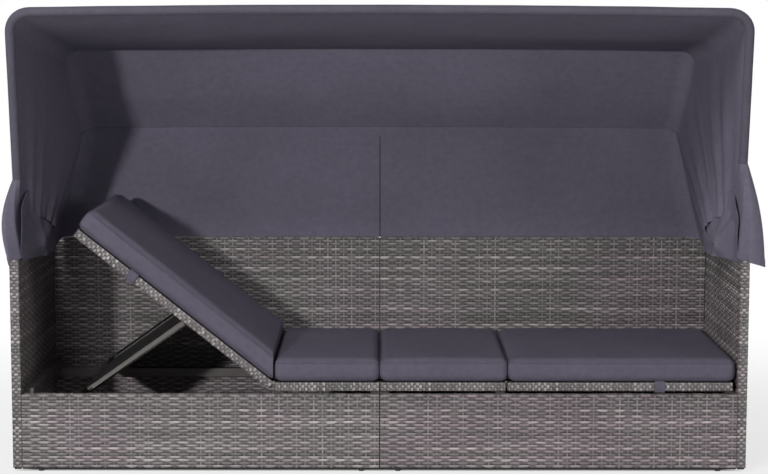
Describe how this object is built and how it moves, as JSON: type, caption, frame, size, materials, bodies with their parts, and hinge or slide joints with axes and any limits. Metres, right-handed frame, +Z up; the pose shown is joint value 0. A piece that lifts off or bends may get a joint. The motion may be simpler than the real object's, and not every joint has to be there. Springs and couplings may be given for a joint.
{
  "type": "outdoor daybed with canopy",
  "caption": "Long woven daybed with woven arms, back and apron, flat cushions, seat ends that lift on hinged props, and a folding cloth canopy on bent metal hoops.",
  "frame": {"origin": "on the floor, in the middle of the box round the whole daybed", "axes": "+X to the right of a person who looks at the front, +Y to the back, +Z up"},
  "size_m": [2.0816, 0.8472, 1.2637],
  "materials": {
    "frame_steel": "dark powder-coated steel tube, satin",
    "bright_steel": "zinc-plated steel",
    "woven_cane": "mottled grey-brown flat plastic cane, woven over one under one",
    "cushion_cloth": "slate grey woven outdoor cloth with sewn edge seams",
    "canopy_cloth": "slate grey woven outdoor cloth, thin and coated",
    "foot_plastic": "black moulded plastic"
  },
  "bodies": {
    "root": {"arm_frame_left": "frame_steel", "arm_weave_left": "woven_cane", "back_frame_left": "frame_steel", "back_weave_left": "woven_cane", "apron_frame_left": "frame_steel", "apron_weave_left": "woven_cane", "deck_frame_left": "frame_steel", "deck_weave_left": "woven_cane", "seat_frame_left": "frame_steel", "hinge_deck_leaf_left": "bright_steel", "hinge_pin_left": "bright_steel", "cushion_deck_left": "cushion_cloth", "pivot_bracket_left": "frame_steel", "pivot_bolt_left": "bright_steel", "pivot_nut_left": "bright_steel", "foot_front_left_inner": "foot_plastic", "foot_front_left_outer": "foot_plastic", "foot_rear_left_inner": "foot_plastic", "foot_rear_left_outer": "foot_plastic", "arm_frame_right": "frame_steel", "arm_weave_right": "woven_cane", "back_frame_right": "frame_steel", "back_weave_right": "woven_cane", "apron_frame_right": "frame_steel", "apron_weave_right": "woven_cane", "deck_frame_right": "frame_steel", "deck_weave_right": "woven_cane", "seat_frame_right": "frame_steel", "hinge_deck_leaf_right": "bright_steel", "hinge_pin_right": "bright_steel", "cushion_deck_right": "cushion_cloth", "pivot_bracket_right": "frame_steel", "pivot_bolt_right": "bright_steel", "pivot_nut_right": "bright_steel", "foot_front_right_inner": "foot_plastic", "foot_front_right_outer": "foot_plastic", "foot_rear_right_inner": "foot_plastic", "foot_rear_right_outer": "foot_plastic", "module_bolt_front": "bright_steel", "module_bolt_rear": "bright_steel", "canopy_rear": "canopy_cloth"},
    "left_panel": {"panel_frame_left": "frame_steel", "panel_weave_left": "woven_cane", "hinge_panel_leaf_left": "bright_steel", "cushion_panel_left": "cushion_cloth"},
    "right_panel": {"panel_frame_right": "frame_steel", "panel_weave_right": "woven_cane", "hinge_panel_leaf_right": "bright_steel", "cushion_panel_right": "cushion_cloth"},
    "left_prop": {"prop_frame_left": "frame_steel", "prop_sheet_left": "frame_steel"},
    "right_prop": {"prop_frame_right": "frame_steel", "prop_sheet_right": "frame_steel"},
    "rear_hoop": {"hoop_rear": "frame_steel", "canopy_middle": "canopy_cloth"},
    "middle_hoop": {"hoop_middle": "frame_steel", "canopy_front": "canopy_cloth"},
    "front_hoop": {"hoop_front": "frame_steel", "canopy_flap_left": "canopy_cloth", "canopy_flap_right": "canopy_cloth"}
  },
  "joints": [
    {"name": "left_panel_hinge", "type": "hinge", "parent": "root", "child": "left_panel", "pos_m": [-0.2895, -0.12356, 0.242], "axis": [0, 1, 0], "range_deg": [-38.57, 13], "deforming": ["cushion_panel_left"]},
    {"name": "right_panel_hinge", "type": "hinge", "parent": "root", "child": "right_panel", "pos_m": [0.346, -0.12356, 0.242], "axis": [0, -1, 0], "range_deg": [0, 51.57], "deforming": ["cushion_panel_right"]},
    {"name": "left_prop_pivot", "type": "hinge", "parent": "left_panel", "child": "left_prop", "pos_m": [-0.54045, -0.11206, 0.39991], "axis": [0, -1, 0], "range_deg": [-74, 25]},
    {"name": "right_prop_pivot", "type": "hinge", "parent": "right_panel", "child": "right_prop", "pos_m": [0.61594, -0.11206, 0.209], "axis": [0, 1, 0], "range_deg": [0, 99]},
    {"name": "rear_hoop_pivot", "type": "hinge", "parent": "root", "child": "rear_hoop", "pos_m": [0, -0.20106, 0.604], "axis": [-1, 0, 0], "range_deg": [0, 20], "deforming": ["canopy_rear"]},
    {"name": "middle_hoop_pivot", "type": "hinge", "parent": "rear_hoop", "child": "middle_hoop", "pos_m": [0, -0.20106, 0.604], "axis": [-1, 0, 0], "range_deg": [0, 22], "deforming": ["canopy_middle"]},
    {"name": "front_hoop_pivot", "type": "hinge", "parent": "middle_hoop", "child": "front_hoop", "pos_m": [0, -0.20106, 0.604], "axis": [-1, 0, 0], "range_deg": [0, 50], "deforming": ["canopy_front", "canopy_flap_left", "canopy_flap_right"]}
  ],
  "couplings": [
    {"joint": "left_prop_pivot", "follows": "left_panel_hinge", "ratio": 1.916},
    {"joint": "right_prop_pivot", "follows": "right_panel_hinge", "ratio": 1.916}
  ]
}
